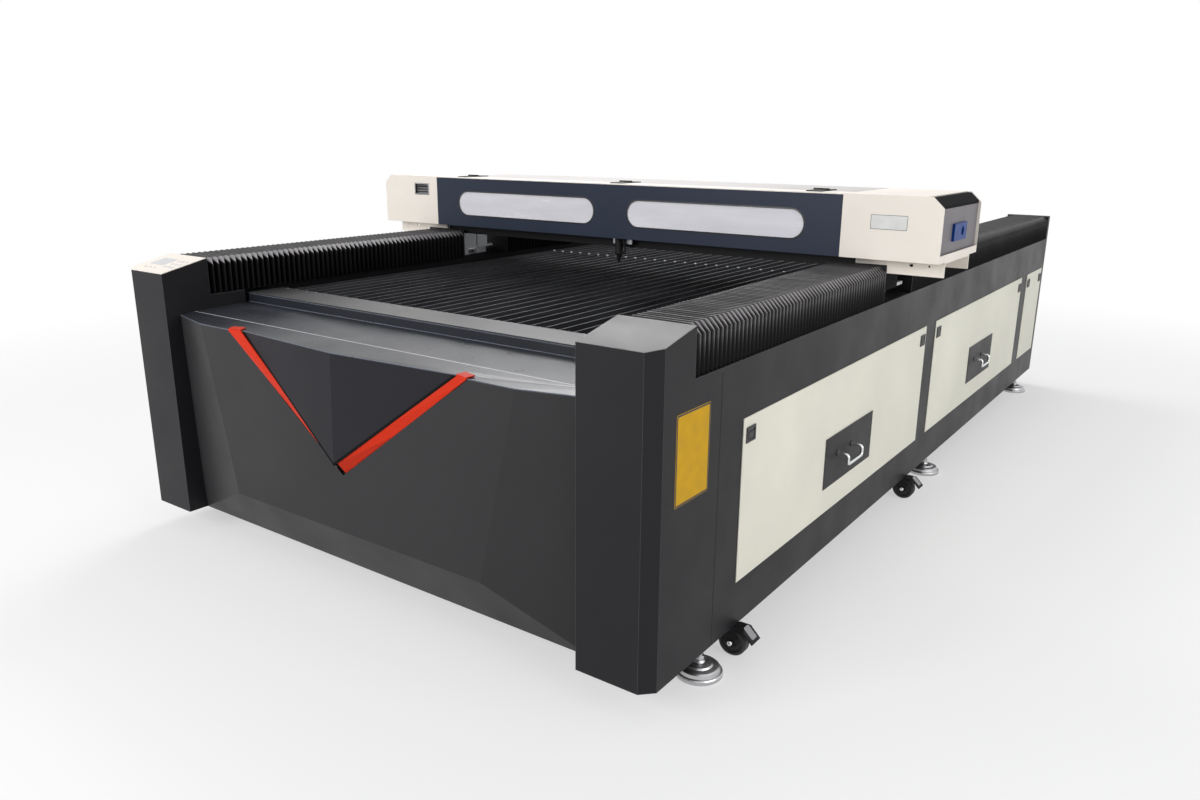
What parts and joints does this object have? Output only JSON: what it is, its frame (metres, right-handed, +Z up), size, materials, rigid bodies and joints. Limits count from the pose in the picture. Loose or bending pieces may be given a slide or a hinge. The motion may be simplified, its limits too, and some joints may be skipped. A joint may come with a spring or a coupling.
{
  "type": "carbon dioxide laser cutter",
  "caption": "Long flat-bed laser cutting machine with a travelling gantry, slatted bed, bellows-covered rails, waste drawers, feet and casters.",
  "frame": {"origin": "on the floor, below the centre of the bounding box", "axes": "+X to the right seen from the front, +Y towards the rear, +Z up"},
  "size_m": [2.258, 3.766, 1.089],
  "materials": {
    "charcoal_paint": "fine-textured powder coat",
    "cream_paint": "satin powder coat",
    "navy_paint": "satin powder coat",
    "orange_paint": "satin powder coat",
    "steel": "ground",
    "chrome": "polished",
    "aluminium": "clear anodised",
    "black_steel": "matt black",
    "bellows_cloth": "coated cloth, matt",
    "milky_pane": "translucent white",
    "tube_glass": "clear",
    "wheel_rubber": "matt",
    "black_plastic": "matt",
    "blue_plastic": "gloss",
    "key_plastic": "matt"
  },
  "bodies": {
    "machine": {"frame_long_tubes": "charcoal_paint", "frame_struts": "charcoal_paint", "rail_beams": "charcoal_paint", "linear_rails": "steel", "right_side_skin": "charcoal_paint", "left_side_skin": "charcoal_paint", "rear_panel": "charcoal_paint", "right_front_post": "charcoal_paint", "left_front_post": "charcoal_paint", "front_fascia": "charcoal_paint", "fascia_prow": "navy_paint", "accent_strips": "orange_paint", "front_shelf": "charcoal_paint", "bed_edge_bars": "aluminium", "slat_blades": "black_steel", "slat_crossbars": "black_steel", "waste_pan": "charcoal_paint", "right_side_covers": "cream_paint", "left_side_covers": "cream_paint", "cover_latches": "black_plastic", "control_panel": "cream_paint", "panel_controls": "key_plastic", "levelling_feet": "chrome", "caster_plates": "black_steel", "power_cabinet": "cream_paint", "right_front_bellows": "bellows_cloth", "left_front_bellows": "bellows_cloth", "right_rear_bellows": "bellows_cloth", "left_rear_bellows": "bellows_cloth"},
    "gantry": {"gantry_beam": "black_steel", "gantry_front_cover": "navy_paint", "gantry_windows": "milky_pane", "gantry_rear_cover": "navy_paint", "gantry_top_strip": "cream_paint", "left_end_cap": "cream_paint", "right_end_cap": "cream_paint", "gantry_end_plates": "charcoal_paint", "service_socket": "blue_plastic", "gantry_brackets": "cream_paint", "gantry_carriages": "aluminium", "x_rail": "steel", "laser_tube": "tube_glass", "tube_mounts": "aluminium", "lid_hinge_bases": "black_steel"},
    "front_drawer": {"front_drawer": "charcoal_paint", "front_drawer_handle": "chrome"},
    "rear_drawer": {"rear_drawer": "charcoal_paint", "rear_drawer_handle": "chrome"},
    "lid": {"gantry_lid": "cream_paint", "lid_hinge_leaves": "black_steel"},
    "head": {"head_carriage": "aluminium"},
    "lens_tube": {"lens_tube": "black_steel"},
    "right_front_caster": {"right_front_caster_fork": "black_steel"},
    "right_front_wheel": {"right_front_caster_wheel": "wheel_rubber"},
    "left_front_caster": {"left_front_caster_fork": "black_steel"},
    "left_front_wheel": {"left_front_caster_wheel": "wheel_rubber"},
    "right_mid_caster": {"right_mid_caster_fork": "black_steel"},
    "right_mid_wheel": {"right_mid_caster_wheel": "wheel_rubber"},
    "left_mid_caster": {"left_mid_caster_fork": "black_steel"},
    "left_mid_wheel": {"left_mid_caster_wheel": "wheel_rubber"}
  },
  "joints": [
    {"name": "gantry_travel", "type": "slide", "parent": "machine", "child": "gantry", "axis": [0, 1, 0], "range_m": [-0.78, 1.71], "deforming": ["right_front_bellows", "left_front_bellows", "right_rear_bellows", "left_rear_bellows"]},
    {"name": "head_travel", "type": "slide", "parent": "gantry", "child": "head", "axis": [1, 0, 0], "range_m": [-0.69, 0.69]},
    {"name": "focus", "type": "slide", "parent": "head", "child": "lens_tube", "axis": [0, 0, 1], "range_m": [0, 0.018]},
    {"name": "lid_hinge", "type": "hinge", "parent": "gantry", "child": "lid", "pos_m": [0, -0.552, 1.085], "axis": [1, 0, 0], "range_deg": [0, 95]},
    {"name": "front_drawer_slide", "type": "slide", "parent": "machine", "child": "front_drawer", "axis": [1, 0, 0], "range_m": [0, 0.36]},
    {"name": "rear_drawer_slide", "type": "slide", "parent": "machine", "child": "rear_drawer", "axis": [1, 0, 0], "range_m": [0, 0.36]},
    {"name": "right_front_swivel", "type": "hinge", "parent": "machine", "child": "right_front_caster", "pos_m": [0.916, -1.46, 0.09], "axis": [0, 0, 1], "continuous": true},
    {"name": "right_front_spin", "type": "hinge", "parent": "right_front_caster", "child": "right_front_wheel", "pos_m": [0.956, -1.46, 0.0395], "axis": [0, 1, 0], "continuous": true},
    {"name": "left_front_swivel", "type": "hinge", "parent": "machine", "child": "left_front_caster", "pos_m": [-0.916, -1.46, 0.09], "axis": [0, 0, 1], "continuous": true},
    {"name": "left_front_spin", "type": "hinge", "parent": "left_front_caster", "child": "left_front_wheel", "pos_m": [-0.956, -1.46, 0.0395], "axis": [0, 1, 0], "continuous": true},
    {"name": "right_mid_swivel", "type": "hinge", "parent": "machine", "child": "right_mid_caster", "pos_m": [0.916, -0.167, 0.09], "axis": [0, 0, 1], "continuous": true},
    {"name": "right_mid_spin", "type": "hinge", "parent": "right_mid_caster", "child": "right_mid_wheel", "pos_m": [0.956, -0.167, 0.0395], "axis": [0, 1, 0], "continuous": true},
    {"name": "left_mid_swivel", "type": "hinge", "parent": "machine", "child": "left_mid_caster", "pos_m": [-0.916, -0.167, 0.09], "axis": [0, 0, 1], "continuous": true},
    {"name": "left_mid_spin", "type": "hinge", "parent": "left_mid_caster", "child": "left_mid_wheel", "pos_m": [-0.956, -0.167, 0.0395], "axis": [0, 1, 0], "continuous": true}
  ]
}
